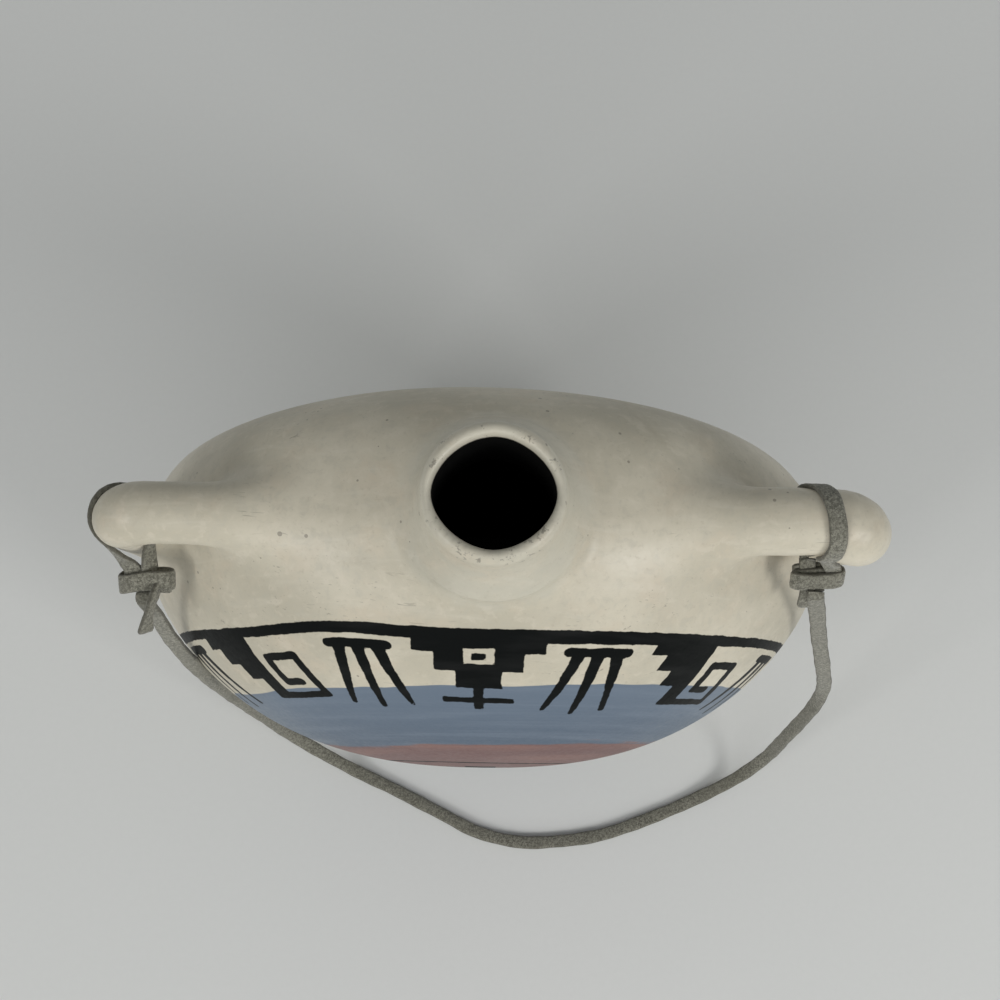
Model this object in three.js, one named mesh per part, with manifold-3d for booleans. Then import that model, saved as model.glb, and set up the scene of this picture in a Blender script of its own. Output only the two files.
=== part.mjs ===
// Clay canteen: a round hollow body of two bowls, a flared neck, two ear handles and a tied suede lace.
// Millimetres. +Z up, -Y is the domed painted front, origin on the table under the middle of the clay.
import * as THREE from "three";
import { mergeVertices } from "three/addons/utils/BufferGeometryUtils.js";
import Module from "manifold-3d";

const wasm = await Module();
wasm.setup();

// Driving dimensions of the body
const BODY_RADIUS = 90;
const FRONT_DEPTH = 54;
const BACK_DEPTH = 40.6;
const WALL = 6;
const BASE_CUT = 8;
const SEAT_GAP = 0.3;
const CUT_PAST = 5;

// Driving dimensions of the neck
const MOUTH_RADIUS = 12.2;
const LIP_THICKNESS = 3;
const NECK_HEIGHT = 18;
const NECK_FOOT_RADIUS = 20;
const NECK_OFFSET = 3;
const NECK_SKIRT = 16;
const FLARE_DROP = 4;
const FLARE_SHORT = 1;
const LIP_BEAD = 0.7;
const LIP_ROUND = 2.2;

// Driving dimensions of the handles
const BAR_RADIUS = 7.6;
const LEG_RADIUS = 6.2;
const LEFT_INSET = 3;
const RIGHT_INSET = 0.2;
const BAR_DROP = 16;
const HANDLE_ROOT_LENGTH = 36;
const LEG_LENGTH = 30;
const RIGHT_SWELL = 0.9;
const BEND_ROOM = 1;
const ROOT_DROP = 5;
const ROOT_SPREAD = 1.5;
const LEG_TUCK = 5.4;
const LEG_SPREAD = 1.8;

// Driving dimensions of the lace
const LACE_WIDTH = 4;
const LACE_THICKNESS = 1.5;
const KNOT_LONG = 11;
const KNOT_DEEP = 2.5;
const KNOT_SPREAD = 0.6;
const LOOP_SINK = 0.9;

// How far each knot stands from its handle: inward from the leg, to the front, and down from the bar
const LEFT_KNOT_INWARD = 2.6;
const LEFT_KNOT_FRONT = 6;
const LEFT_KNOT_DROP = 7.9;
const RIGHT_KNOT_INWARD = 6.4;
const RIGHT_KNOT_FRONT = 1.8;
const RIGHT_KNOT_DROP = 4;

// The left loop: slack round the leg, drop from the bar, tilt, and its ends across the knot
const LEFT_LOOP_SLACK = 0.5;
const LEFT_LOOP_DROP = 8.6;
const LEFT_LOOP_TILT = 4.2;
const LEFT_LOOP_OUTER_END = 2.9;
const LEFT_LOOP_INNER_END = 1.6;

// The right loop: slack round the bar, shift and slant along it, and its ends across the knot
const RIGHT_LOOP_SLACK = 0.3;
const RIGHT_LOOP_SHIFT = 0.6;
const RIGHT_LOOP_LEAN = 1.6;
const RIGHT_LOOP_SLANT = 4.6;
const RIGHT_LOOP_OUTER_END = 2.6;
const RIGHT_LOOP_INNER_END = 2.4;

// Where the strap leaves the knots, across them
const LEFT_EXIT_SHIFT = -2.8;
const RIGHT_EXIT_SHIFT = -0.4;

// Powers and shares of curves
const FLARE_POWER = 2.2;
const ROOT_POWER = 2.6;
const KNOT_POWER = 0.6;
const CHAMFER_SHARE = 0.28;

// Fineness
const ROUND_STEPS = 64;
const PROFILE_STEPS = 13;
const NECK_STEPS = 40;
const FLARE_STEPS = 7;
const LIP_STEPS = 6;
const ROOT_STEPS = 4;
const BEND_STEPS = 8;
const LEG_STEPS = 4;
const BAR_SIDES = 18;
const LOOP_STEPS = 10;
const LOOP_STATIONS = 34;
const TAIL_STATIONS = 6;
const STRAP_STATIONS = 56;
const MERGE_WITHIN = 1e-4;

// Sizes that follow from them
const SEAM_Y = (FRONT_DEPTH - BACK_DEPTH) / 2;
const CENTRE_Z = BODY_RADIUS - BASE_CUT;
const TOP_Z = CENTRE_Z + BODY_RADIUS + NECK_HEIGHT;
const BAR_Z = CENTRE_Z + BODY_RADIUS - BAR_DROP;
const LEFT_REACH = BODY_RADIUS - LEFT_INSET;
const RIGHT_REACH = BODY_RADIUS - RIGHT_INSET;
const LACE_CLEAR = 2 * SEAT_GAP + LACE_THICKNESS / 2;

// Solids and booleans
function solidOf(geometry) {
  const bare = geometry.clone();
  bare.deleteAttribute("normal");
  bare.deleteAttribute("uv");
  const merged = mergeVertices(bare, MERGE_WITHIN);
  const vertProperties = new Float32Array(merged.attributes.position.array);
  const triVerts = new Uint32Array(merged.index.array);
  const solid = new wasm.Manifold(new wasm.Mesh({ numProp: 3, vertProperties, triVerts }));
  if (solid.volume() > 0) {
    return solid;
  }
  for (let i = 0; i < triVerts.length; i += 3) {
    [triVerts[i + 1], triVerts[i + 2]] = [triVerts[i + 2], triVerts[i + 1]];
  }
  return new wasm.Manifold(new wasm.Mesh({ numProp: 3, vertProperties, triVerts }));
}

function geometryOf(solid) {
  const mesh = solid.getMesh();
  const geometry = new THREE.BufferGeometry();
  geometry.setAttribute("position", new THREE.BufferAttribute(new Float32Array(mesh.vertProperties), 3));
  geometry.setIndex(new THREE.BufferAttribute(new Uint32Array(mesh.triVerts), 1));
  geometry.computeVertexNormals();
  return geometry;
}

function boxBelow(height) {
  const size = 4 * BODY_RADIUS;
  const box = new THREE.BoxGeometry(size, size, size);
  box.translate(0, 0, height - size / 2);
  return solidOf(box);
}

// The bowl profile: a rounded curve from the seam, where the radius is full, to the pole
function bowlRadius(share, flat, round) {
  return Math.max(0, 1 - share ** flat) ** (1 / round);
}

const FRONT_CURVE = { side: -1, flat: 1.6, round: 2.36 };
const BACK_CURVE = { side: 1, flat: 3.2, round: 2.4 };

// One bowl as a solid of revolution about the Y axis, grown by grow, cut flat on the seam
function bowl(curve, depth, grow, seamGap) {
  const points = [new THREE.Vector2(0, SEAM_Y + curve.side * seamGap)];
  for (let i = 0; i <= PROFILE_STEPS; i++) {
    const share = Math.sin((i / PROFILE_STEPS) * (Math.PI / 2));
    const radius = (BODY_RADIUS + grow) * bowlRadius(share, curve.flat, curve.round);
    const along = Math.max(seamGap, share * (depth + grow));
    points.push(new THREE.Vector2(i === PROFILE_STEPS ? 0 : radius, SEAM_Y + curve.side * along));
  }
  const lathe = new THREE.LatheGeometry(points, ROUND_STEPS);
  lathe.translate(0, 0, CENTRE_Z);
  return solidOf(lathe);
}

function wholeBody(grow) {
  return bowl(FRONT_CURVE, FRONT_DEPTH, grow, 0).add(bowl(BACK_CURVE, BACK_DEPTH, grow, 0));
}

// A solid of revolution about the neck's upright axis from a closed profile of [radius, height]
function turnedUpright(profile) {
  const points = profile.map(([radius, height]) => new THREE.Vector2(radius, height));
  points.push(points[0].clone());
  const lathe = new THREE.LatheGeometry(points, NECK_STEPS);
  lathe.rotateX(Math.PI / 2);
  lathe.translate(NECK_OFFSET, SEAM_Y, 0);
  return solidOf(lathe);
}

// Body shells, hollow, with the neck's hole and the flat base
const HOLE_FLOOR_Z = CENTRE_Z + BODY_RADIUS / 2;
const neckHole = turnedUpright([
  [0, HOLE_FLOOR_Z],
  [MOUTH_RADIUS, HOLE_FLOOR_Z],
  [MOUTH_RADIUS, TOP_Z + CUT_PAST],
  [0, TOP_Z + CUT_PAST],
]);

function shell(curve, depth) {
  const outside = bowl(curve, depth, 0, SEAT_GAP / 2).subtract(boxBelow(0));
  const hollow = bowl(curve, depth, -WALL, 0).subtract(boxBelow(WALL));
  return outside.subtract(hollow).subtract(neckHole);
}

const frontShell = shell(FRONT_CURVE, FRONT_DEPTH);
const backShell = shell(BACK_CURVE, BACK_DEPTH);
const bodySeat = wholeBody(SEAT_GAP);

// Neck, a flared collar with a rounded lip, seated on the body
const lipOuter = MOUTH_RADIUS + LIP_THICKNESS;
const neckProfile = [[MOUTH_RADIUS, TOP_Z - NECK_HEIGHT - NECK_SKIRT]];
neckProfile.push([NECK_FOOT_RADIUS, TOP_Z - NECK_HEIGHT - NECK_SKIRT]);
for (let i = 0; i <= FLARE_STEPS; i++) {
  const rise = i / FLARE_STEPS;
  const radius = lipOuter - LIP_BEAD + (NECK_FOOT_RADIUS - lipOuter + LIP_BEAD) * (1 - rise) ** FLARE_POWER;
  neckProfile.push([radius, TOP_Z - NECK_HEIGHT - FLARE_DROP + rise * (NECK_HEIGHT - FLARE_SHORT)]);
}
for (let i = 0; i <= LIP_STEPS; i++) {
  const turn = (i / LIP_STEPS) * Math.PI;
  const middle = (MOUTH_RADIUS + lipOuter) / 2;
  const reach = LIP_THICKNESS / 2;
  neckProfile.push([middle + reach * Math.cos(turn), TOP_Z - LIP_ROUND + LIP_ROUND * Math.sin(turn)]);
}
const neck = turnedUpright(neckProfile).subtract(bodySeat);

// A sweep: rings of a flat outline carried along points, each with its own side and up directions
function sweep(stations, closed) {
  const count = stations.length;
  const sides = stations[0].outline.length;
  const positions = [];
  const index = [];
  for (const { point, side, up, outline } of stations) {
    for (const [u, v] of outline) {
      const corner = point.clone().addScaledVector(side, u).addScaledVector(up, v);
      positions.push(corner.x, corner.y, corner.z);
    }
  }
  const spans = closed ? count : count - 1;
  for (let i = 0; i < spans; i++) {
    const next = (i + 1) % count;
    for (let j = 0; j < sides; j++) {
      const k = (j + 1) % sides;
      index.push(i * sides + j, next * sides + j, next * sides + k);
      index.push(i * sides + j, next * sides + k, i * sides + k);
    }
  }
  if (!closed) {
    for (let j = 1; j < sides - 1; j++) {
      const last = (count - 1) * sides;
      index.push(0, j, j + 1);
      index.push(last, last + j + 1, last + j);
    }
  }
  const geometry = new THREE.BufferGeometry();
  geometry.setAttribute("position", new THREE.Float32BufferAttribute(positions, 3));
  geometry.setIndex(index);
  return solidOf(geometry);
}

function circleOutline(radius, sides) {
  const outline = [];
  for (let j = 0; j < sides; j++) {
    const turn = (j / sides) * 2 * Math.PI;
    outline.push([radius * Math.cos(turn), radius * Math.sin(turn)]);
  }
  return outline;
}

// Flat lace: eight corners, the short sides chamfered
function laceOutline(width, thickness) {
  const u = width / 2;
  const v = thickness / 2;
  const cut = thickness * CHAMFER_SHARE;
  return [
    [u, -v + cut],
    [u, v - cut],
    [u - cut, v],
    [-u + cut, v],
    [-u, v - cut],
    [-u, -v + cut],
    [-u + cut, -v],
    [u - cut, -v],
  ];
}

// Stations along a smooth curve; facing gives the outward direction of the flat side at each point
function laceStations(curve, steps, facing) {
  const outline = laceOutline(LACE_WIDTH, LACE_THICKNESS);
  const stations = [];
  for (let i = 0; i <= steps; i++) {
    const point = curve.getPoint(i / steps);
    const along = curve.getTangent(i / steps).normalize();
    const up = facing(point).clone();
    up.addScaledVector(along, -up.dot(along)).normalize();
    const side = new THREE.Vector3().crossVectors(up, along);
    stations.push({ point, side, up, outline });
  }
  return stations;
}

function smoothCurve(points) {
  return new THREE.CatmullRomCurve3(points, false, "centripetal");
}

// Handles: a bar from the shoulder, a bend that may swell, and a leg back down to the shoulder
function legX(hand, reach) {
  return hand * (reach - LEG_RADIUS);
}

function handle(hand, reach, bendSwell) {
  const bendRadius = BAR_RADIUS + BEND_ROOM;
  const bendX = reach - LEG_RADIUS - bendRadius;
  const bendZ = BAR_Z - bendRadius;
  const spots = [];
  for (let i = ROOT_STEPS; i > 0; i--) {
    const share = i / ROOT_STEPS;
    const z = BAR_Z - ROOT_DROP * share ** ROOT_POWER;
    spots.push({ x: bendX - share * HANDLE_ROOT_LENGTH, z, radius: BAR_RADIUS + ROOT_SPREAD * share ** 2 });
  }
  for (let i = 0; i <= BEND_STEPS; i++) {
    const turn = (i / BEND_STEPS) * (Math.PI / 2);
    const swell = bendSwell * Math.sin(2 * turn);
    const radius = BAR_RADIUS + (LEG_RADIUS - BAR_RADIUS) * (i / BEND_STEPS) + swell;
    spots.push({ x: bendX + bendRadius * Math.sin(turn), z: bendZ + bendRadius * Math.cos(turn), radius });
  }
  for (let i = 1; i <= LEG_STEPS; i++) {
    const share = i / LEG_STEPS;
    const x = reach - LEG_RADIUS - LEG_TUCK * share ** 2;
    spots.push({ x, z: bendZ - share * LEG_LENGTH, radius: LEG_RADIUS + LEG_SPREAD * share });
  }
  const points = spots.map(({ x, z }) => new THREE.Vector3(hand * x, SEAM_Y, z));
  const stations = points.map((point, i) => {
    const before = points[Math.max(0, i - 1)];
    const after = points[Math.min(points.length - 1, i + 1)];
    const along = after.clone().sub(before).normalize();
    const side = new THREE.Vector3(0, 1, 0);
    const up = new THREE.Vector3().crossVectors(along, side);
    return { point, side, up, outline: circleOutline(spots[i].radius, BAR_SIDES) };
  });
  return sweep(stations, false).subtract(bodySeat);
}

const leftHandle = handle(-1, LEFT_REACH, 0);
const rightHandle = handle(1, RIGHT_REACH, RIGHT_SWELL);

// Knots: each is a core of folded lace with one turn of lace wrapped round it
const leftKnotAt = new THREE.Vector3(
  legX(-1, LEFT_REACH) + LEFT_KNOT_INWARD,
  SEAM_Y - LEG_RADIUS - LEFT_KNOT_FRONT,
  BAR_Z - BAR_RADIUS - LEFT_KNOT_DROP,
);
const rightKnotAt = new THREE.Vector3(
  legX(1, RIGHT_REACH) - RIGHT_KNOT_INWARD,
  SEAM_Y - BAR_RADIUS - RIGHT_KNOT_FRONT,
  BAR_Z - BAR_RADIUS - RIGHT_KNOT_DROP,
);

// A knot's own directions: across it, down its slope, and into its face
const ACROSS = new THREE.Vector3(1, 0, 0);
const SLOPE = new THREE.Vector3(0, -0.55, -0.84).normalize();
const FACE = new THREE.Vector3().crossVectors(ACROSS, SLOPE);
const KNOT_HALF_HIGH = (LACE_WIDTH + KNOT_SPREAD) / 2;
const KNOT_STEPS = 24;

// A full oval, squarer than an ellipse, as [across, into the face]
function knotOval(step, halfLong, halfDeep) {
  const turn = (step / KNOT_STEPS) * 2 * Math.PI;
  const swell = (value) => Math.sign(value) * Math.abs(value) ** KNOT_POWER;
  return [halfLong * swell(Math.cos(turn)), halfDeep * swell(Math.sin(turn))];
}

function knot(at) {
  const coreLong = KNOT_LONG - 1.7 * LACE_THICKNESS;
  const coreDeep = 2 * KNOT_DEEP - 1.6 * LACE_THICKNESS;
  const core = [-0.5, -0.4, 0.4, 0.5].map((share) => {
    const size = Math.abs(share) < 0.5 ? 1 : 0.7;
    const point = at.clone().addScaledVector(ACROSS, share * coreLong);
    return { point, side: SLOPE, up: FACE, outline: laceOutline(LACE_WIDTH * size, coreDeep * size) };
  });
  const wrap = [];
  const outline = laceOutline(LACE_WIDTH + KNOT_SPREAD, LACE_THICKNESS);
  for (let i = 0; i < KNOT_STEPS; i++) {
    const [long, deep] = knotOval(i, (KNOT_LONG - LACE_THICKNESS) / 2, KNOT_DEEP - LACE_THICKNESS / 2);
    const up = ACROSS.clone().multiplyScalar((long * KNOT_DEEP) / KNOT_LONG).addScaledVector(FACE, deep);
    const point = at.clone().addScaledVector(ACROSS, long).addScaledVector(FACE, deep);
    wrap.push({ point, side: SLOPE, up: up.normalize(), outline });
  }
  return sweep(core, false).add(sweep(wrap, true));
}

// The room that a knot takes, with the gap all round, cut from the lace that runs into it
function knotSeat(at) {
  const outline = [];
  for (let i = 0; i < KNOT_STEPS; i++) {
    outline.push(knotOval(i, KNOT_LONG / 2 + SEAT_GAP, KNOT_DEEP + SEAT_GAP));
  }
  const stations = [-1, 1].map((end) => {
    const point = at.clone().addScaledVector(SLOPE, end * (KNOT_HALF_HIGH + SEAT_GAP));
    return { point, side: ACROSS, up: FACE, outline };
  });
  return sweep(stations, false);
}

const leftKnot = knot(leftKnotAt);
const rightKnot = knot(rightKnotAt);
const knotSeats = knotSeat(leftKnotAt).add(knotSeat(rightKnotAt));

// Tie loops: the left one goes round the outer leg, the right one round the bar, both through the eye.
// In degrees: where each loop leaves its knot, one step of it, and where the left one is lowest
const DEGREE = Math.PI / 180;
const LEFT_LOOP_START = 235;
const RIGHT_LOOP_START = 200;
const LOOP_TURN = 29;
const LEFT_LOOP_LOWEST = 306;

function leftLoop() {
  const x = legX(-1, LEFT_REACH);
  const ring = LEG_RADIUS + LACE_CLEAR + LEFT_LOOP_SLACK;
  const knotTop = leftKnotAt.clone().addScaledVector(SLOPE, LOOP_SINK - KNOT_HALF_HIGH);
  const points = [knotTop.clone().addScaledVector(ACROSS, -LEFT_LOOP_OUTER_END)];
  for (let i = 0; i <= LOOP_STEPS; i++) {
    const turn = (LEFT_LOOP_START - LOOP_TURN * i) * DEGREE;
    const height = BAR_Z - LEFT_LOOP_DROP - LEFT_LOOP_TILT * Math.cos(turn - LEFT_LOOP_LOWEST * DEGREE);
    points.push(new THREE.Vector3(x + ring * Math.cos(turn), SEAM_Y + ring * Math.sin(turn), height));
  }
  points.push(knotTop.clone().addScaledVector(ACROSS, LEFT_LOOP_INNER_END));
  const away = (point) => new THREE.Vector3(point.x - x, point.y - SEAM_Y, 0);
  return sweep(laceStations(smoothCurve(points), LOOP_STATIONS, away), false).subtract(knotSeats);
}

function rightLoop() {
  const x = rightKnotAt.x + RIGHT_LOOP_SHIFT;
  const ring = BAR_RADIUS + LACE_CLEAR + RIGHT_LOOP_SLACK;
  const knotTop = rightKnotAt.clone().addScaledVector(SLOPE, LOOP_SINK - KNOT_HALF_HIGH);
  const points = [knotTop.clone().addScaledVector(ACROSS, RIGHT_LOOP_OUTER_END)];
  for (let i = 0; i <= LOOP_STEPS; i++) {
    const turn = (RIGHT_LOOP_START - LOOP_TURN * i) * DEGREE;
    const lean = RIGHT_LOOP_LEAN - RIGHT_LOOP_SLANT * (i / LOOP_STEPS);
    points.push(new THREE.Vector3(x + lean, SEAM_Y + ring * Math.cos(turn), BAR_Z + ring * Math.sin(turn)));
  }
  points.push(knotTop.clone().addScaledVector(ACROSS, -RIGHT_LOOP_INNER_END));
  const away = (point) => new THREE.Vector3(0, point.y - SEAM_Y, point.z - BAR_Z);
  return sweep(laceStations(smoothCurve(points), LOOP_STATIONS, away), false).subtract(knotSeats);
}

// Tails: the short cut ends below the knots, by hand-chosen points from each knot's middle
const LEFT_TAIL_ROUTE = [
  [2.9, -1.6, -0.6],
  [2.5, -6.6, -3],
  [2, -11.2, -3.8],
];
const RIGHT_TAIL_ROUTE = [
  [-3.4, -0.8, -1.2],
  [-3.7, -3.4, -5],
  [-3.9, -5.4, -8.6],
];

function tail(at, route, facing) {
  const curve = smoothCurve(route.map((place) => at.clone().add(new THREE.Vector3(...place))));
  return sweep(laceStations(curve, TAIL_STATIONS, () => facing), false).subtract(knotSeats);
}

const leftTail = tail(leftKnotAt, LEFT_TAIL_ROUTE, new THREE.Vector3(0.3, -0.5, 0.8));
const rightTail = tail(rightKnotAt, RIGHT_TAIL_ROUTE, new THREE.Vector3(-0.3, -0.8, 0.5));

// Where the strap leaves a knot: at its lower front edge, so the strap can swing up in front of the knot
function strapExit(at, shift) {
  const exit = at.clone().addScaledVector(SLOPE, KNOT_HALF_HIGH + SEAT_GAP);
  exit.addScaledVector(FACE, -KNOT_DEEP - LACE_THICKNESS / 2 - SEAT_GAP);
  return exit.addScaledVector(ACROSS, shift);
}

// Free strap: hand-chosen points of its middle line between the knots, down to the table and up again
const STRAP_ROUTE = [
  [-80.6, -11.4, 132],
  [-79.2, -15, 121],
  [-77.4, -19.4, 108],
  [-75.2, -23.2, 92],
  [-72.4, -28, 62],
  [-67.3, -33.5, 34],
  [-59.4, -40.1, 13],
  [-43.9, -48.9, 2.6],
  [-27.5, -56.5, 1.1],
  [-14.1, -63, 1.1],
  [-1.5, -69, 1.1],
  [12.3, -71.9, 1.1],
  [25.4, -71.4, 1.1],
  [38.5, -69.3, 1.1],
  [54.9, -63.7, 1.1],
  [71.4, -56.6, 1.4],
  [83.6, -50, 4.5],
  [90.6, -43.8, 14],
  [93.4, -37.1, 34],
  [95.2, -32.4, 48],
  [96.1, -28.5, 60],
  [95.3, -24.3, 74],
  [90.9, -20.2, 92],
  [85, -14.4, 113],
  [80.3, -9.9, 131],
];

// The heights at which the lace turns from lying flat to facing outward, and then twists to face the front
const TABLE_TURN = [6, 46];
const LEFT_TWIST = [100, 118];
const RIGHT_TWIST = [82, 98];

// How far out from the middle the lace faces outward at 45 degrees
const OUTWARD_REACH = 70;

function shareBetween(value, low, high) {
  return Math.min(1, Math.max(0, (value - low) / (high - low)));
}

function strap() {
  const points = STRAP_ROUTE.map((place) => new THREE.Vector3(...place));
  points.unshift(strapExit(leftKnotAt, LEFT_EXIT_SHIFT));
  points.push(strapExit(rightKnotAt, RIGHT_EXIT_SHIFT));
  const front = new THREE.Vector3(0, -1, 0.2);
  const facing = (point) => {
    const outward = shareBetween(point.z, ...TABLE_TURN) / OUTWARD_REACH;
    const side = new THREE.Vector3(point.x * outward, (point.y - SEAM_Y) * outward, 1);
    const [low, high] = point.x < 0 ? LEFT_TWIST : RIGHT_TWIST;
    return side.normalize().lerp(front, shareBetween(point.z, low, high));
  };
  return sweep(laceStations(smoothCurve(points), STRAP_STATIONS, facing), false).subtract(knotSeats);
}

// Materials and nodes
const clay = new THREE.MeshStandardMaterial({ color: "#cfc7b3", roughness: 0.55, metalness: 0 });
const suede = new THREE.MeshStandardMaterial({ color: "#8a8478", roughness: 0.95, metalness: 0 });

const canteen = new THREE.Group();
canteen.name = "clay_canteen";

function addNode(name, solid, material) {
  const mesh = new THREE.Mesh(geometryOf(solid), material);
  mesh.name = name;
  canteen.add(mesh);
}

addNode("front_shell", frontShell, clay);
addNode("back_shell", backShell, clay);
addNode("neck", neck, clay);
addNode("left_handle", leftHandle, clay);
addNode("right_handle", rightHandle, clay);
addNode("left_tie_loop", leftLoop(), suede);
addNode("left_knot", leftKnot, suede);
addNode("left_tail", leftTail, suede);
addNode("right_tie_loop", rightLoop(), suede);
addNode("right_knot", rightKnot, suede);
addNode("right_tail", rightTail, suede);
addNode("strap_main", strap(), suede);

export default canteen;
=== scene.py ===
"""Looks of the clay canteen: slip-painted pottery, tied suede lace, studio floor and light.

Lengths are in millimetres until a mesh is made. Meshes, floor and lamps are in metres, in the CAD frame.
"""
import math

import bmesh
import bpy
import numpy as np
from mathutils import Matrix, Vector


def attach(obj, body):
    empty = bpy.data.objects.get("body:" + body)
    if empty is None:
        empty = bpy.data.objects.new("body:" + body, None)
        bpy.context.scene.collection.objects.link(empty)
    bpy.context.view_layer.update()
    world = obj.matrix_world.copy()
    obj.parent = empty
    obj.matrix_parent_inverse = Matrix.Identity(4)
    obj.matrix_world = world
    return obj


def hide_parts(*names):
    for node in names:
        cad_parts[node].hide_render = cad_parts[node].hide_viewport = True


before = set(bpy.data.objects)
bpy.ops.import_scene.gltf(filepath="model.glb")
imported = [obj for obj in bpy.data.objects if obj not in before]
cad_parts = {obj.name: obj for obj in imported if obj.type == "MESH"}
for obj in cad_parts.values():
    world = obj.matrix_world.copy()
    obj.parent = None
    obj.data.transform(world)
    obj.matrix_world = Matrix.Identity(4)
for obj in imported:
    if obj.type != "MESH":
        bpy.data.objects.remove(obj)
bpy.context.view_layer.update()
scene = bpy.context.scene
MM = 0.001

# Sizes repeated from part.mjs
BODY_RADIUS = 90.0
FRONT_DEPTH = 54.0
BACK_DEPTH = 40.6
WALL = 6.0
SEAM_Y = 6.7
CENTRE_Z = 82.0
TOP_Z = 190.0
BAR_Z = 156.0
MOUTH_RADIUS = 12.2
NECK_OFFSET = 3.0
BAR_RADIUS = 7.6
LEG_RADIUS = 6.2
LEFT_REACH = 87.0
RIGHT_REACH = 89.8
LACE_WIDTH = 4.0
LACE_THICKNESS = 1.5

# Camera, from the photograph: 79 degrees down, 42 degrees wide, rolled a little
CAMERA_AT = (4.2, -43.45, 441.2)
CAMERA_DOWN = math.radians(79)
CAMERA_ROLL = math.radians(0.79)
CAMERA_WIDE = math.radians(42)
CAMERA_SENSOR = 36
CAMERA_NEAR = 0.01


def make_camera():
    data = bpy.data.cameras.new("camera")
    data.sensor_width = CAMERA_SENSOR
    data.lens = CAMERA_SENSOR / 2 / math.tan(CAMERA_WIDE / 2)
    data.clip_start = CAMERA_NEAR
    right = Vector((1, 0, 0))
    up = Vector((0, math.sin(CAMERA_DOWN), math.cos(CAMERA_DOWN)))
    ahead = Vector((0, math.cos(CAMERA_DOWN), -math.sin(CAMERA_DOWN)))
    x_axis = math.cos(CAMERA_ROLL) * right + math.sin(CAMERA_ROLL) * up
    y_axis = -math.sin(CAMERA_ROLL) * right + math.cos(CAMERA_ROLL) * up
    turn = Matrix((x_axis, y_axis, -ahead)).transposed().to_4x4()
    camera = bpy.data.objects.new("camera", data)
    camera.matrix_world = Matrix.Translation(Vector(CAMERA_AT) * MM) @ turn
    scene.collection.objects.link(camera)
    scene.camera = camera


make_camera()

# Vectors, curves and noise
SHORTEST = 1e-12
CURVE_FINENESS = 4
WAVES = 7
WAVE_SPREAD = (0.6, 1.3)


def unit(v):
    """The vectors, each made one long."""
    v = np.asarray(v, float)
    return v / np.maximum(np.linalg.norm(v, axis=-1, keepdims=True), SHORTEST)


def smooth_step(value, low, high):
    """0 below low, 1 above high, and a smooth rise between."""
    share = np.clip((value - low) / (high - low), 0, 1)
    return share * share * (3 - 2 * share)


def run_along(points):
    """Length along the points, from the first to each."""
    return np.concatenate([[0], np.cumsum(np.linalg.norm(np.diff(points, axis=0), axis=1))])


def smooth_curve(points, spacing):
    """Centripetal Catmull-Rom through the points, as points about that far apart."""
    p = np.asarray(points, float)
    p = np.vstack([2 * p[0] - p[1], p, 2 * p[-1] - p[-2]])
    out = []
    for i in range(1, len(p) - 2):
        p0, p1, p2, p3 = p[i - 1:i + 3]
        t1 = np.linalg.norm(p1 - p0) ** 0.5
        t2 = t1 + np.linalg.norm(p2 - p1) ** 0.5
        t3 = t2 + np.linalg.norm(p3 - p2) ** 0.5
        steps = max(2, int(np.linalg.norm(p2 - p1) / spacing * CURVE_FINENESS))
        t = np.linspace(t1, t2, steps, endpoint=False)[:, None]
        a1 = (t1 - t) / t1 * p0 + t / t1 * p1
        a2 = (t2 - t) / (t2 - t1) * p1 + (t - t1) / (t2 - t1) * p2
        a3 = (t3 - t) / (t3 - t2) * p2 + (t - t2) / (t3 - t2) * p3
        b1 = (t2 - t) / t2 * a1 + t / t2 * a2
        b2 = (t3 - t) / (t3 - t1) * a2 + (t - t1) / (t3 - t1) * a3
        out.append((t2 - t) / (t2 - t1) * b1 + (t - t1) / (t2 - t1) * b2)
    dense = np.vstack(out + [p[-2:-1]])
    run = run_along(dense)
    count = max(3, int(round(run[-1] / spacing)) + 1)
    at = np.linspace(0, run[-1], count)
    return np.stack([np.interp(at, run, column) for column in dense.T], 1)


def wave_noise(p, size, seed):
    """Smooth seeded noise about -1 to 1, with lumps of about that size, from a few crossed waves."""
    rng = np.random.default_rng(seed)
    total = np.zeros(len(p))
    for _ in range(WAVES):
        direction = unit(rng.normal(size=3)) * (2 * math.pi / size) * rng.uniform(*WAVE_SPREAD)
        total += np.sin(p @ direction + rng.uniform(0, 2 * math.pi))
    return total / (WAVES / 2)


# Shader nodes
MIX_SHARE, MIX_A, MIX_B, MIX_RESULT = 0, 6, 7, 2
NOISE_LOW, NOISE_HIGH = 0.3, 0.7


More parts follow.
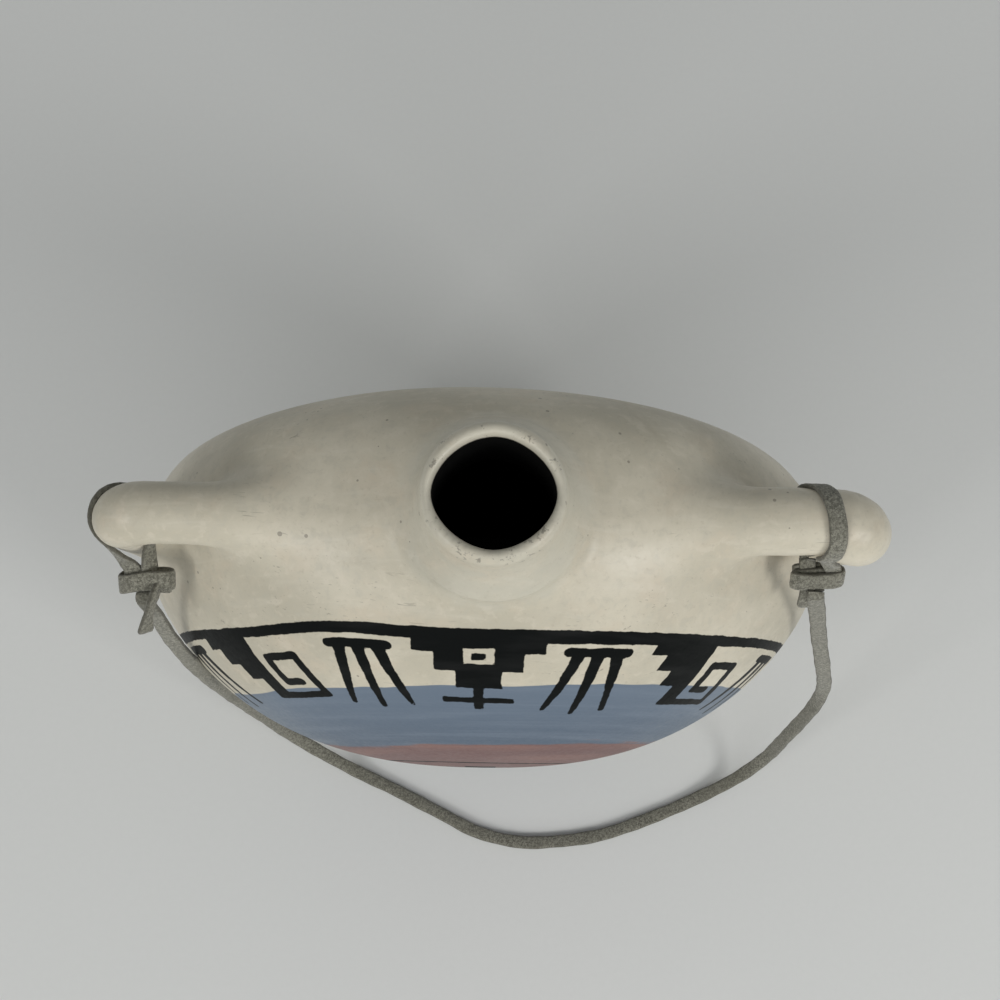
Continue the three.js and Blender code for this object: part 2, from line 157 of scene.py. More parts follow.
class Nodes:
    """Short calls for one material's nodes; a socket or a number goes in, a socket comes out."""

    def __init__(self, name):
        self.material = bpy.data.materials.new(name)
        self.material.use_nodes = True
        self.tree = self.material.node_tree
        self.shader = self.tree.nodes["Principled BSDF"]

    def feed(self, socket, value):
        if isinstance(value, bpy.types.NodeSocket):
            self.tree.links.new(value, socket)
        else:
            socket.default_value = value

    def make(self, kind, inputs, **settings):
        node = self.tree.nodes.new(kind)
        for key, value in settings.items():
            setattr(node, key, value)
        for key, value in inputs.items():
            self.feed(node.inputs[key], value)
        return node

    def place(self):
        return self.make("ShaderNodeTexCoord", {}).outputs["Object"]

    def stretch(self, vector, scale, turn=(0, 0, 0)):
        inputs = {"Vector": vector, "Rotation": turn, "Scale": scale}
        return self.make("ShaderNodeMapping", inputs).outputs["Vector"]

    def attribute(self, name):
        return self.make("ShaderNodeAttribute", {}, attribute_name=name).outputs["Fac"]

    def noise(self, vector, scale, detail=3.0, rough=0.55, warp=0.0):
        """Noise of about that many lumps in a metre, or in one unit of a stretched vector."""
        inputs = {"Vector": vector, "Scale": scale, "Detail": detail, "Roughness": rough}
        return self.make("ShaderNodeTexNoise", {**inputs, "Distortion": warp}).outputs["Fac"]

    def cells(self, vector, scale):
        return self.make("ShaderNodeTexVoronoi", {"Vector": vector, "Scale": scale}).outputs["Distance"]

    def ramp(self, value, low, high, out_low=0.0, out_high=1.0, soft=True):
        inputs = {"Value": value, "From Min": low, "From Max": high, "To Min": out_low, "To Max": out_high}
        kind = "SMOOTHSTEP" if soft else "LINEAR"
        return self.make("ShaderNodeMapRange", inputs, interpolation_type=kind).outputs["Result"]

    def math(self, operation, a, b):
        return self.make("ShaderNodeMath", {0: a, 1: b}, operation=operation).outputs[0]

    def wander(self, value, noise, by):
        """The value moved up and down by that much with the noise."""
        return self.math("ADD", value, self.ramp(noise, NOISE_LOW, NOISE_HIGH, -by, by, soft=False))

    def mix(self, share, a, b):
        node = self.tree.nodes.new("ShaderNodeMix")
        node.data_type = "RGBA"
        self.feed(node.inputs[MIX_SHARE], share)
        self.feed(node.inputs[MIX_A], a if isinstance(a, bpy.types.NodeSocket) else (*a, 1))
        self.feed(node.inputs[MIX_B], b if isinstance(b, bpy.types.NodeSocket) else (*b, 1))
        return node.outputs[MIX_RESULT]

    def tint(self, colour, tone, most, share):
        """The colour with at most that much of the tone over it, by the share."""
        return self.mix(self.math("MULTIPLY", share, most), colour, tone)

    def bump(self, height, strength, distance, normal=None):
        inputs = {"Height": height, "Strength": strength, "Distance": distance}
        if normal is not None:
            inputs["Normal"] = normal
        return self.make("ShaderNodeBump", inputs).outputs["Normal"]


# Colours of the slip, of the marks in it and of the paint
SLIP_PALE = (0.63, 0.585, 0.475)
SLIP_GREY = (0.50, 0.465, 0.37)
SLIP_WARM = (0.60, 0.53, 0.415)
SLIP_DULL = (0.49, 0.465, 0.385)
SLIP_LIGHT = (0.70, 0.645, 0.54)
SLIP_NECK = (0.55, 0.535, 0.455)
LIP_WEAR = (0.20, 0.185, 0.155)
WIPED = (0.70, 0.66, 0.56)
STAIN = (0.43, 0.385, 0.30)
SAND = (0.34, 0.30, 0.23)
GRIT = (0.17, 0.15, 0.12)
SCRATCH = (0.25, 0.225, 0.18)
DARK_INSIDE = (0.004, 0.004, 0.004)
INK = (0.003, 0.004, 0.004)
INK_WORN = (0.012, 0.013, 0.013)
BLUE_HIGH = (0.125, 0.168, 0.228)
BLUE_LOW = (0.068, 0.104, 0.156)
BLUE_STREAK = (0.160, 0.205, 0.268)
PINK = (0.138, 0.064, 0.060)
PINK_STREAK = (0.205, 0.100, 0.084)

# Where paint and slip change, in millimetres: in from the border, or out from collar, ink or surface
BLUE_EDGE = (15.6, 15.9)
BLUE_FADE = (17, 42)
PINK_EDGE = (43.0, 44.6)
COLLAR_FADE = (2.2, -0.8)
INK_EDGE = (0.12, -0.12)
INSIDE_EDGE = (-1.5, -2.1)

# How the noise is drawn out for wiping marks, brush streaks and ink, and turned too for two ways of scratches
WIPE_STRETCH = (60, 420, 60)
BRUSH_STRETCH = (22, 700, 22)
INK_STRETCH = (40, 260, 40)
SCRATCH_STRETCHES = [((0.2, 0.3, 0.9), (90, 900, 1100)), ((0.4, 0.7, 2.2), (130, 1100, 900))]


def clay_material():
    n = Nodes("painted_slip")
    place = n.place()
    broad = n.noise(place, 22, 3)
    lumps = n.noise(place, 85, 4, 0.6)
    mottle = n.noise(place, 320, 4, 0.62, 0.4)
    grain = n.noise(place, 900, 3, 0.7)
    colour = n.mix(n.ramp(broad, 0.38, 0.68), SLIP_PALE, SLIP_GREY)
    colour = n.tint(colour, SLIP_WARM, 0.6, n.ramp(lumps, 0.48, 0.72))
    colour = n.tint(colour, SLIP_DULL, 0.4, n.ramp(mottle, 0.50, 0.68))
    colour = n.tint(colour, SLIP_LIGHT, 0.3, n.ramp(mottle, 0.48, 0.32))
    # The neck's slip is thinner and greyer, with dark wear at the lip
    collar = n.wander(n.attribute("collar"), lumps, 1.2)
    colour = n.tint(colour, SLIP_NECK, 0.55, n.ramp(collar, *COLLAR_FADE))
    chips = n.ramp(n.noise(place, 420, 3, 0.7), 0.60, 0.66)
    wear = n.math("MULTIPLY", n.ramp(n.attribute("lip"), 0.2, 0.8), chips)
    colour = n.tint(colour, LIP_WEAR, 0.7, wear)
    # Wiping marks of the slip cloth, stains, and the grit and scratches that show through
    wipe = n.noise(n.stretch(place, WIPE_STRETCH), 1.0, 4, 0.6, 0.6)
    colour = n.tint(colour, WIPED, 0.25, n.ramp(wipe, 0.52, 0.75))
    stain = n.noise(place, 46, 5, 0.7, 1.2)
    colour = n.tint(colour, STAIN, 0.35, n.ramp(stain, 0.56, 0.74))
    colour = n.tint(colour, SAND, 0.3, n.ramp(grain, 0.55, 0.8))
    grit_size = n.ramp(n.noise(place, 60, 2), 0.45, 0.75, 0.02, 0.15)
    grit = n.math("LESS_THAN", n.cells(place, 230), grit_size)
    colour = n.tint(colour, GRIT, 0.6, grit)
    scuffed = n.ramp(n.noise(place, 38, 2), 0.5, 0.62)
    for turn, stretch in SCRATCH_STRETCHES:
        scratch = n.noise(n.stretch(place, stretch, turn), 1.0, 2, 0.4, 1.5)
        scratch = n.math("MULTIPLY", n.ramp(scratch, 0.70, 0.74), scuffed)
        colour = n.tint(colour, SCRATCH, 0.6, scratch)
    # Painted rings of the front, with brush streaks
    ring = n.wander(n.attribute("ring"), n.noise(place, 40, 2), 0.9)
    streak = n.noise(n.stretch(place, BRUSH_STRETCH), 1.0, 4, 0.65, 0.3)
    blue = n.mix(n.ramp(ring, *BLUE_FADE, soft=False), BLUE_HIGH, BLUE_LOW)
    blue = n.tint(blue, BLUE_STREAK, 0.5, n.ramp(streak, 0.40, 0.75))
    pink = n.mix(n.ramp(streak, 0.38, 0.74), PINK, PINK_STREAK)
    painted = n.mix(n.ramp(n.wander(ring, streak, 2.2), *PINK_EDGE), blue, pink)
    worn = n.ramp(n.noise(place, 300, 4, 0.7), 0.70, 0.80, 1.0, 0.72)
    colour = n.mix(n.math("MULTIPLY", n.ramp(ring, *BLUE_EDGE), worn), colour, painted)
    # Black paint, its edge a little ragged
    ink = n.ramp(n.wander(n.attribute("ink"), n.noise(place, 260, 3, 0.6), 0.22), *INK_EDGE)
    thin = n.ramp(n.noise(n.stretch(place, INK_STRETCH), 1.0, 3), 0.45, 0.8)
    colour = n.mix(ink, colour, n.mix(thin, INK, INK_WORN))
    # Near black on every surface more than about 2 mm in from the outside: the bore and the hollow
    inside = n.wander(n.attribute("depth"), lumps, 0.25)
    colour = n.mix(n.ramp(inside, *INSIDE_EDGE), colour, DARK_INSIDE)
    n.feed(n.shader.inputs["Base Color"], colour)
    dull = n.math("ADD", n.math("MULTIPLY", broad, 0.6), n.math("MULTIPLY", grain, 0.4))
    n.feed(n.shader.inputs["Roughness"], n.ramp(dull, 0.3, 0.7, 0.32, 0.50))
    n.feed(n.shader.inputs["Specular IOR Level"], n.ramp(ink, 0, 1, 0.45, 0.06, soft=False))
    pits = n.math("SUBTRACT", n.math("MULTIPLY", grain, 0.5), n.math("MULTIPLY", grit, 0.4))
    normal = n.bump(n.noise(place, 120, 3, 0.5), 0.25, 0.0008)
    n.feed(n.shader.inputs["Normal"], n.bump(pits, 0.16, 0.0003, normal))
    return n.material


SUEDE_DARK = (0.112, 0.109, 0.086)
SUEDE_MIDDLE = (0.252, 0.246, 0.202)
SUEDE_LIGHT = (0.365, 0.36, 0.305)
SUEDE_DEEP = (0.062, 0.060, 0.047)
SUEDE_RUBBED = (0.155, 0.150, 0.120)
SUEDE_EDGE = (0.070, 0.066, 0.051)


def suede_material():
    n = Nodes("napped_suede")
    place = n.place()
    nap = n.noise(place, 2400, 2, 0.8)
    tuft = n.noise(place, 1350, 3, 0.75)
    drift = n.noise(place, 70, 3)
    colour = n.mix(n.ramp(tuft, 0.38, 0.62), SUEDE_DARK, SUEDE_MIDDLE)
    colour = n.tint(colour, SUEDE_LIGHT, 0.8, n.ramp(nap, 0.54, 0.70))
    colour = n.tint(colour, SUEDE_DEEP, 0.8, n.ramp(nap, 0.46, 0.32))
    colour = n.tint(colour, SUEDE_RUBBED, 0.3, n.ramp(drift, 0.4, 0.7))
    colour = n.tint(colour, SUEDE_EDGE, 0.65, n.ramp(n.attribute("edge"), 0.4, 1.0))
    n.feed(n.shader.inputs["Base Color"], colour)
    n.feed(n.shader.inputs["Roughness"], n.ramp(nap, 0.3, 0.7, 0.86, 0.98))
    n.feed(n.shader.inputs["Specular IOR Level"], 0.2)
    n.feed(n.shader.inputs["Sheen Weight"], 0.25)
    n.feed(n.shader.inputs["Sheen Roughness"], 0.6)
    normal = n.bump(tuft, 0.45, 0.0004)
    n.feed(n.shader.inputs["Normal"], n.bump(nap, 0.5, 0.0002, normal))
    return n.material


CLAY, SUEDE = clay_material(), suede_material()


def add_object(name, mesh, body, node):
    """A visible piece that rides on the body in place of the CAD node."""
    piece = bpy.data.objects.new(name, mesh)
    scene.collection.objects.link(piece)
    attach(piece, body)
    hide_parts(node)
    return piece


def set_attribute(mesh, name, values):
    layer = mesh.attributes.new(name, "FLOAT", "POINT")
    layer.data.foreach_set("value", np.asarray(values, np.float32))


# Clay: one smooth field, negative inside the clay, cut into the CAD's pieces afterwards
FRONT_RADIUS_POWER, FRONT_DEPTH_POWER = 2.36, 1.6
BACK_RADIUS_POWER, BACK_DEPTH_POWER = 2.4, 3.2
ABOVE_ZERO = 1e-9
LEAST_SLOPE = 0.004

# The neck's collar, flared to its foot, and the bore, each set a little behind the seam
COLLAR_BACK = 0.8
COLLAR_RADIUS = 15.0
COLLAR_FLARE = 5.0
COLLAR_SLOPE = 0.95
COLLAR_BOTTOM = 150
FLARE_DROP = 20
FLARE_HEIGHT = 18
FLARE_POWER = 2.2
LIP_ROUND = 3.4
BORE_BACK = 0.6
BORE_WIDE = 12.6
BORE_DEEP = 11.5
BORE_POWER = 1.8
BORE_BOTTOM = 120

# The handles, further back, higher and longer than in the CAD
HANDLE_Y = SEAM_Y + 1.1
HANDLE_Z = BAR_Z + 1.5
LEFT_HANDLE_REACH = LEFT_REACH + 0.4
RIGHT_HANDLE_REACH = RIGHT_REACH + 1.6
ROOT_LENGTH = 36
ROOT_DROP = 6
ROOT_POWER = 2.6
ROOT_SPREAD = 1.8
BEND_ROOM = 1
BEND_SPOTS = 9
LEG_LENGTH = 30
LEG_TUCK = 5.4
LEG_SPREAD = 1.8
QUARTERS = (0.25, 0.5, 0.75, 1)
HANDLE_STEP = 2.0
HANDLE_MARGIN = 22
FAR_OFF = 60.0

# Fillets and rounded edges between the forms, and the height, size and seed of the low lumps
NECK_FILLET = 3.6
HANDLE_FILLET = 8
WALL_ROUND = 2
MOUTH_ROUND = 2.2
FOOT_ROUND = 2.5
BODY_LUMP, BODY_LUMP_SIZE, BODY_SEED = 0.28, 75, 21
HANDLE_LUMP, HANDLE_LUMP_SIZE, HANDLE_SEED = 0.22, 22, 22

# Moves of points onto the surface
SLOPE_STEP = 0.2
LANDING_ROUNDS = 2
LANDING_SLOPE = 0.2
LANDING_MOVE = 0.8


def join(a, b, soft):
    """Union of two fields with a fillet of about that size."""
    h = np.maximum(soft - np.abs(a - b), 0) / soft
    return np.minimum(a, b) - h * h * soft / 4


def cut(a, b, soft):
    """What is in both fields, with a rounded edge of about that size."""
    return -join(-a, -b, soft)


def body_field(p, grow):
    """The two bowls, grown outward by that much."""
    y = p[:, 1] - SEAM_Y
    front = y < 0
    depth = np.where(front, FRONT_DEPTH, BACK_DEPTH) + grow
    radius = BODY_RADIUS + grow
    depth_power = np.where(front, FRONT_DEPTH_POWER, BACK_DEPTH_POWER)
    radius_power = np.where(front, FRONT_RADIUS_POWER, BACK_RADIUS_POWER)
    r = np.hypot(p[:, 0], p[:, 2] - CENTRE_Z) / radius + ABOVE_ZERO
    t = np.abs(y) / depth + ABOVE_ZERO
    radius_slope = radius_power * r ** (radius_power - 1) / radius
    depth_slope = depth_power * t ** (depth_power - 1) / depth
    slope = np.hypot(radius_slope, depth_slope)
    return (r ** radius_power + t ** depth_power - 1) / np.maximum(slope, LEAST_SLOPE)


def neck_field(p):
    out = np.hypot(p[:, 0] - NECK_OFFSET, p[:, 1] - SEAM_Y - COLLAR_BACK)
    rise = np.clip((p[:, 2] - TOP_Z + FLARE_DROP) / FLARE_HEIGHT, 0, 1)
    radius = COLLAR_RADIUS + COLLAR_FLARE * (1 - rise) ** FLARE_POWER
    collar = cut((out - radius) * COLLAR_SLOPE, p[:, 2] - TOP_Z, LIP_ROUND)
    return np.maximum(collar, COLLAR_BOTTOM - p[:, 2])


def mouth_field(p):
    """The bore, a little pinched to points at its left and right."""
    x = np.abs(p[:, 0] - NECK_OFFSET) / BORE_WIDE
    y = np.abs(p[:, 1] - SEAM_Y - BORE_BACK) / BORE_DEEP
    share = (x ** BORE_POWER + y ** BORE_POWER + ABOVE_ZERO) ** (1 / BORE_POWER)
    return np.maximum(share * MOUTH_RADIUS - MOUTH_RADIUS, BORE_BOTTOM - p[:, 2])


def handle_spots(hand, reach, bar, swell, lean, tuck):
    """Middle line and radius of a handle: bar, swollen bend leaning to the front, leg tucked back again."""
    bend = bar + BEND_ROOM
    bend_x, bend_z = reach - LEG_RADIUS - bend, HANDLE_Z - bend
    spots = []
    for share in QUARTERS[::-1]:
        x, z = bend_x - ROOT_LENGTH * share, HANDLE_Z - ROOT_DROP * share ** ROOT_POWER
        spots.append((x, HANDLE_Y, z, bar + ROOT_SPREAD * share ** 2))
    for share in np.linspace(0, 1, BEND_SPOTS):
        turn = share * math.pi / 2
        x, z = bend_x + bend * math.sin(turn), bend_z + bend * math.cos(turn)
        radius = bar + (LEG_RADIUS - bar) * share + swell * math.sin(2 * turn)
        spots.append((x, HANDLE_Y - lean * share, z, radius))
    for share in QUARTERS:
        x, y = reach - LEG_RADIUS - LEG_TUCK * share ** 2, HANDLE_Y - lean + tuck * share
        spots.append((x, y, bend_z - LEG_LENGTH * share, LEG_RADIUS + LEG_SPREAD * share))
    return smooth_curve([(hand * x, y, z, radius) for x, y, z, radius in spots], HANDLE_STEP)


LEFT_HANDLE = handle_spots(-1, LEFT_HANDLE_REACH, bar=6.9, swell=0.5, lean=0.4, tuck=1.6)
RIGHT_HANDLE = handle_spots(1, RIGHT_HANDLE_REACH, bar=7.3, swell=1.3, lean=2.2, tuck=6.0)


def handle_field(p, spots):
    best = np.full(len(p), FAR_OFF)
    low, high = spots[:, :3].min(0) - HANDLE_MARGIN, spots[:, :3].max(0) + HANDLE_MARGIN
    near = np.all((p > low) & (p < high), 1)
    q = p[near]
    found = np.full(len(q), FAR_OFF)
    for a, b in zip(spots[:-1], spots[1:]):
        span = b[:3] - a[:3]
        share = np.clip((q - a[:3]) @ span / (span @ span), 0, 1)
        gap = np.linalg.norm(q - a[:3] - share[:, None] * span, axis=1)
        found = np.minimum(found, gap - a[3] - share * (b[3] - a[3]))
    best[near] = found
    return best


def outer_field(p):
    """The outside of the clay, hand made: low lumps everywhere, smaller ones on the handles."""
    body = join(body_field(p, 0), neck_field(p), NECK_FILLET)
    body = body + BODY_LUMP * wave_noise(p, BODY_LUMP_SIZE, BODY_SEED)
    for spots in (LEFT_HANDLE, RIGHT_HANDLE):
        bar = handle_field(p, spots) + HANDLE_LUMP * wave_noise(p, HANDLE_LUMP_SIZE, HANDLE_SEED)
        body = join(body, bar, HANDLE_FILLET)
    return body


def clay_field(p):
    hollow = np.maximum(body_field(p, -WALL), WALL - p[:, 2])
    clay = cut(outer_field(p), -hollow, WALL_ROUND)
    clay = cut(clay, -mouth_field(p), MOUTH_ROUND)
    return cut(clay, -p[:, 2], FOOT_ROUND)


def gradient(field, p):
    parts = []
    for k in range(3):
        shift = np.zeros(3)
        shift[k] = SLOPE_STEP
        parts.append((field(p + shift) - field(p - shift)) / (2 * SLOPE_STEP))
    return np.stack(parts, 1)


def onto_surface(p):
    """The points moved onto the clay's surface."""
    for _ in range(LANDING_ROUNDS):
        slope = gradient(clay_field, p)
        steep = np.maximum((slope ** 2).sum(1, keepdims=True), LANDING_SLOPE)
        move = clay_field(p)[:, None] * slope / steep
        p = p - np.clip(move, -LANDING_MOVE, LANDING_MOVE)
    return p


# Lace: a flat ribbon with soft edges, swept along its middle line
SECTION_SIDES = 20
SECTION_ACROSS_POWER, SECTION_UP_POWER = 0.42, 0.62
EDGE_START, EDGE_SHARE = 0.72, 0.28
PHASE_RANGE = 6.28
SWELL, SWELL_LENGTH = 0.03, 3.1
RIPPLE, RIPPLE_LENGTH = 0.025, 1.3
END_TAPER = 0.86
NAP = 0.035


def lace_section(width, thickness):
    """Corners of the section as (across, up), and how far each is towards the cut edges."""
    turn = np.arange(SECTION_SIDES) / SECTION_SIDES * 2 * math.pi
    across = np.sign(np.cos(turn)) * np.abs(np.cos(turn)) ** SECTION_ACROSS_POWER * width / 2
    up = np.sign(np.sin(turn)) * np.abs(np.sin(turn)) ** SECTION_UP_POWER * thickness / 2
    edge = np.clip((np.abs(across) / (width / 2) - EDGE_START) / EDGE_SHARE, 0, 1)
    return across, up, edge


def ribbon(path, facing, width=LACE_WIDTH, thickness=LACE_THICKNESS, seed=1, cup=0.0):
    """Points, faces and edge shares of a lace along the path, its flat side in the facing direction."""
    path = np.asarray(path, float)
    count = len(path)
    along = unit(np.gradient(path, axis=0))
    up = np.broadcast_to(np.asarray(facing, float), path.shape)
    up = unit(up - (up * along).sum(1, keepdims=True) * along)
    side = np.cross(up, along)
    rng = np.random.default_rng(seed)
    run = run_along(path)
    phase = rng.uniform(0, PHASE_RANGE, 4)
    swell = 1 + SWELL * np.sin(run / SWELL_LENGTH + phase[0])
    swell = swell + RIPPLE * np.sin(run / RIPPLE_LENGTH + phase[1])
    across, rise, edge = lace_section(width, thickness)
    ends = np.ones(count)
    ends[0] = ends[-1] = END_TAPER
    lift = cup * (1 - (2 * across / width) ** 2)
    points = (
        path[:, None]
        + side[:, None] * (across[None, :, None] * (swell * ends)[:, None, None])
        + up[:, None] * ((rise + lift)[None, :, None] * ends[:, None, None])
    )
    points = points + up[:, None] * (rng.normal(size=points.shape[:2])[..., None] * NAP)
    faces = []
    for i in range(count - 1):
        a, b = i * SECTION_SIDES, (i + 1) * SECTION_SIDES
        for j in range(SECTION_SIDES):
            k = (j + 1) % SECTION_SIDES
            faces.append((a + j, a + k, b + k, b + j))
    last = (count - 1) * SECTION_SIDES
    faces.append(tuple(range(SECTION_SIDES))[::-1])
    faces.append(tuple(range(last, last + SECTION_SIDES)))
    return points.reshape(-1, 3), faces, np.tile(edge, count)


def lace_piece(name, ribbons, body):
    """One lace piece of one or more ribbons, in place of the CAD node of the same name."""
    points, faces, edges, start = [], [], [], 0
    for p, f, e in ribbons:
        points.append(p)
        faces += [tuple(i + start for i in face) for face in f]
        edges.append(e)
        start += len(p)
    mesh = bpy.data.meshes.new(name + "_lace")
    mesh.from_pydata((np.vstack(points) * MM).tolist(), [], faces)
    mesh.update()
    work = bmesh.new()
    work.from_mesh(mesh)
    bmesh.ops.recalc_face_normals(work, faces=work.faces)
    work.to_mesh(mesh)
    work.free()
    set_attribute(mesh, "edge", np.concatenate(edges))
    mesh.polygons.foreach_set("use_smooth", [True] * len(mesh.polygons))
    mesh.materials.append(SUEDE)
    return add_object(name + "_lace", mesh, body, name)


# The free strap: the route of part.mjs, its left end moved in along the hinge line as in the photograph
STRAP_ROUTE = [
    (-77.8, -9.84, 140.35), (-77.5, -11.2, 135.5), (-77.2, -12.9, 129.5), (-76.8, -15.9, 121),
    (-75.9, -19.8, 107), (-74.6, -23.5, 90), (-72.4, -27.9, 62), (-67.3, -33.5, 34),
    (-59.4, -40.1, 13.4), (-43.9, -48.9, 3.0), (-27.5, -56.5, 1.5), (-14.1, -63, 1.5),
    (-1.5, -69, 1.5), (12.3, -71.9, 1.5), (25.4, -71.4, 1.5), (38.5, -69.3, 1.5),
    (54.9, -63.7, 1.5), (71.4, -56.6, 1.8), (83.6, -50, 4.7), (90.6, -43.8, 14),
    (93.4, -37.1, 34), (95.2, -32.4, 48), (96.1, -28.5, 60), (95.3, -24.3, 74),
    (90.9, -20.2, 92), (85, -14.4, 113), (80.3, -9.9, 131), (76.8, -7.094, 144.169),
]

# Directions that the strap's flat side faces, at points of the route counted from 0
STRAP_END_FACING = (0, -1, 0.2)
TABLE_FACING = (0, 0.22, 1)
STRAP_FACING = {
    0: STRAP_END_FACING, 3: STRAP_END_FACING, 5: (0.5, -0.85, 0.05), 6: (0.68, -0.73, 0.05),
    7: (0.68, -0.7, 0.2), 8: (0.5, -0.4, 0.75), 9: (0.1, 0.1, 1), 10: TABLE_FACING, 17: TABLE_FACING,
    18: (-0.2, 0.1, 0.95), 19: (-0.6, -0.35, 0.7), 20: (-0.85, -0.45, 0.2), 22: (-0.8, -0.6, 0),
    23: (-0.2, -1, 0.1), 24: STRAP_END_FACING, 27: STRAP_END_FACING,
}
STRAP_STEP = 1.0
STRAP_CUP = 0.12
STRAP_SEED = 3


def strap_facing(path):
    at = [np.linalg.norm(path - STRAP_ROUTE[i], axis=1).argmin() for i in STRAP_FACING]
    given = np.array(list(STRAP_FACING.values()), float)
    return np.stack([np.interp(np.arange(len(path)), at, column) for column in given.T], 1)


strap_path = smooth_curve(STRAP_ROUTE, STRAP_STEP)
strap_ribbon = ribbon(strap_path, strap_facing(strap_path), seed=STRAP_SEED, cup=STRAP_CUP)
strap = lace_piece("strap_main", [strap_ribbon], "strap")

# Knots, as in part.mjs: how far each stands inward from the leg, to the front and down from the bar
LEFT_KNOT_INWARD, LEFT_KNOT_FRONT, LEFT_KNOT_DROP = 2.6, 6, 7.9
RIGHT_KNOT_INWARD, RIGHT_KNOT_FRONT, RIGHT_KNOT_DROP = 6.4, 1.8, 4
LEFT_KNOT = np.array([
    -(LEFT_REACH - LEG_RADIUS) + LEFT_KNOT_INWARD,
    SEAM_Y - LEG_RADIUS - LEFT_KNOT_FRONT,
    BAR_Z - BAR_RADIUS - LEFT_KNOT_DROP,
])
RIGHT_KNOT = np.array([
    RIGHT_REACH - LEG_RADIUS - RIGHT_KNOT_INWARD,
    SEAM_Y - BAR_RADIUS - RIGHT_KNOT_FRONT,
    BAR_Z - BAR_RADIUS - RIGHT_KNOT_DROP,
])

# Directions in the knots, tilted further to the front than in part.mjs
ACROSS = np.array([1.0, 0, 0])
LEFT_SLOPE = unit([0, -0.9, -0.44])
RIGHT_SLOPE = unit([0, -0.75, -0.66])

# Lace in the ties: pressed thinner, its point spacings, its fit on the handles and where loops twist
TIED_THICKNESS = 1.25
WOUND_STEP = 0.5
TIE_STEP = 0.6
TAIL_LATE = 4
HUG_ROUNDS = 5
HUG_LIFT = 0.5
TWIST_IN = (1, 9)
TWIST_OUT = (0.5, 5)


def hug(points, spots, lift):
    """The points moved to that height above a handle."""
    points = np.array(points, float)
    for _ in range(HUG_ROUNDS):
        gap = handle_field(points, spots) - lift
        points = points - gap[:, None] * unit(gradient(lambda q: handle_field(q, spots), points))
    return points


def turning(path, first, last, late=1):
    """Directions that turn from the first to the last, mostly at the path's end if late is over 1."""
    share = np.linspace(0, 1, len(path))[:, None] ** late
    return np.asarray(first, float) * (1 - share) + np.asarray(last, float) * share


class Knot:
    """A knot's middle and the slope its laces run down; places in it are (across, down the slope, out)."""

    def __init__(self, at, slope):
        self.at, self.slope = at, slope
        self.out = np.cross(slope, ACROSS)

    def places(self, given):
        return self.at + np.asarray(given, float) @ np.array([ACROSS, self.slope, self.out])

    def wound(self, given, width, seed):
        """Lace wound in the knot, its width down the slope."""
        path = smooth_curve(self.places(given), WOUND_STEP)
        facing = np.cross(np.gradient(path, axis=0), self.slope)
        return ribbon(path, facing, width=width, thickness=TIED_THICKNESS, seed=seed)

    def stub(self, given, end, seed):
        """The lace from inside the knot to the strap's end, on which the strap turns."""
        path = smooth_curve([*self.places(given), *end], WOUND_STEP)
        facing = turning(path, self.out, STRAP_END_FACING)
        return ribbon(path, facing, thickness=TIED_THICKNESS, seed=seed)

    def tail(self, inside, points, facings, seed):
        """The cut end of the lace from inside the knot, turning from the first facing to the last."""
        path = smooth_curve([*self.places([inside]), *points], TIE_STEP)
        facing = turning(path, *facings, late=TAIL_LATE)
        return ribbon(path, facing, thickness=TIED_THICKNESS, seed=seed)

    def tie(self, first, ring, last, spots, middle, flat, seed):
        """A turn of lace from the knot round a handle and back.

        It faces out of the knot at both ends, and between them away from the middle in the flat's plane.
        """
        turns = [self.places(first), hug(ring, spots, HUG_LIFT), self.places(last)]
        path = smooth_curve(np.vstack(turns), TIE_STEP)
        run = np.arange(len(path)) * TIE_STEP
        share = np.minimum(smooth_step(run, *TWIST_IN), smooth_step(run[::-1], *TWIST_OUT))[:, None]
        away = unit((path - np.array(middle)) * np.array(flat))
        facing = self.out * (1 - share) + away * share
        return ribbon(path, facing, thickness=TIED_THICKNESS, seed=seed)


LEFT = Knot(LEFT_KNOT, LEFT_SLOPE)
RIGHT = Knot(RIGHT_KNOT, RIGHT_SLOPE)

# The loops as rings before they are hugged onto the handles, in degrees round the leg and round the bar
LOOP_RADIUS = 8
LEFT_LOOP_DEGREES = np.arange(227, -50, -13)
LEFT_LOOP_DROP = 8.6
LEFT_LOOP_TILT = 4.2
LEFT_LOOP_LOWEST = 1.7 * math.pi
LEFT_LOOP_START = [(-1.0, -0.2, 0.3), (-1.8, -2.6, 0.4)]
LEFT_LOOP_END = [(1.6, -2.6, 0.4), (1.4, -0.2, 0.3)]
RIGHT_LOOP_DEGREES = np.arange(198, -90, -13)
RIGHT_LOOP_START = [(3.0, -0.2, 0.6), (3.2, -2.5, 0.7)]
RIGHT_LOOP_END = [(-2.2, -1.2, -0.6)]

# Where the right loop lies along the bar, at degrees round it
RIGHT_LOOP_ALONG = {
    -85: 74, -40: 72.4, 0: 72.6, 25: 74.9, 50: 76, 80: 76.6, 110: 77.2, 140: 77.6, 170: 77.2, 200: 76.6,
}


def left_loop():
    """Round the outer leg and back through the eye."""
    x, y = -(LEFT_HANDLE_REACH - LEG_RADIUS), HANDLE_Y
    turn = np.radians(LEFT_LOOP_DEGREES)
    height = HANDLE_Z - LEFT_LOOP_DROP - LEFT_LOOP_TILT * np.cos(turn - LEFT_LOOP_LOWEST)
    ring = np.stack([x + LOOP_RADIUS * np.cos(turn), y + LOOP_RADIUS * np.sin(turn), height], 1)
    return LEFT.tie(LEFT_LOOP_START, ring, LEFT_LOOP_END, LEFT_HANDLE, (x, y, 0), flat=(1, 1, 0), seed=5)


